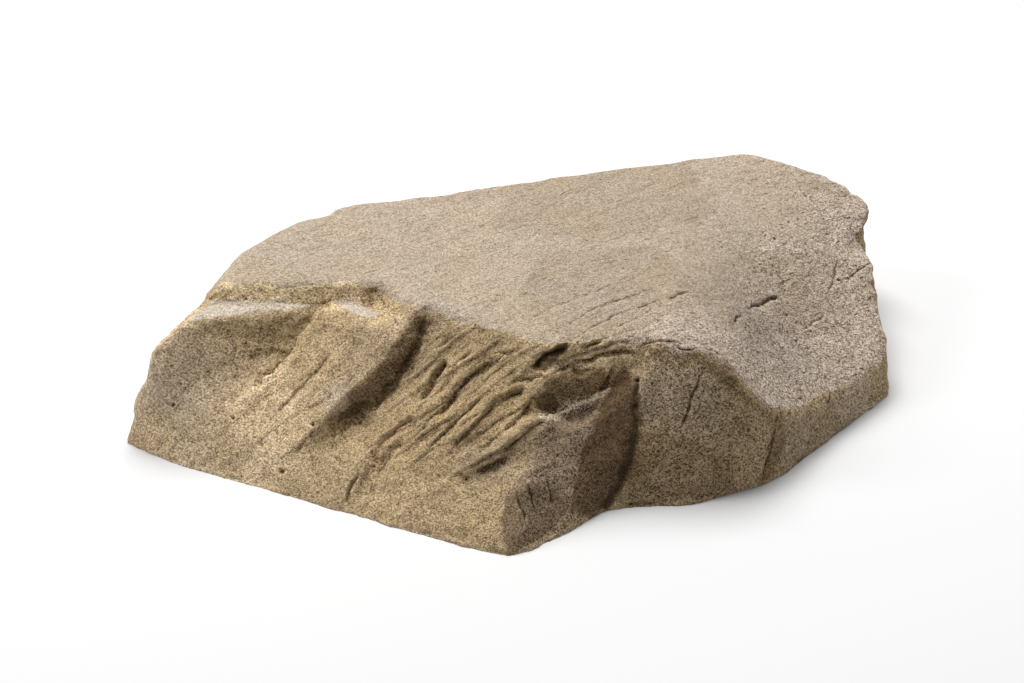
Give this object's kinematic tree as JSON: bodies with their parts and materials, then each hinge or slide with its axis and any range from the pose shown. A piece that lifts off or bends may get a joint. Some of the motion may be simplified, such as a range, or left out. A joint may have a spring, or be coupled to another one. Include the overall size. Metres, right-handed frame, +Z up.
{
  "type": "boulder",
  "caption": "Flat irregular sandstone boulder: broad level top, grooved front slope running down to a nose, steep broken right end. Lies on its flat underside.",
  "frame": {"origin": "middle of the stone's bounding box in plan, at ground level on the flat underside", "axes": "+X to the right of someone who faces the low grooved front slope and the nose, +Y away from them towards the back, +Z up"},
  "size_m": [1.1022, 0.946, 0.2093],
  "materials": {
    "sandstone": "rough, coarse-grained, pitted"
  },
  "bodies": {
    "root": {"boulder": "sandstone"}
  },
  "joints": []
}
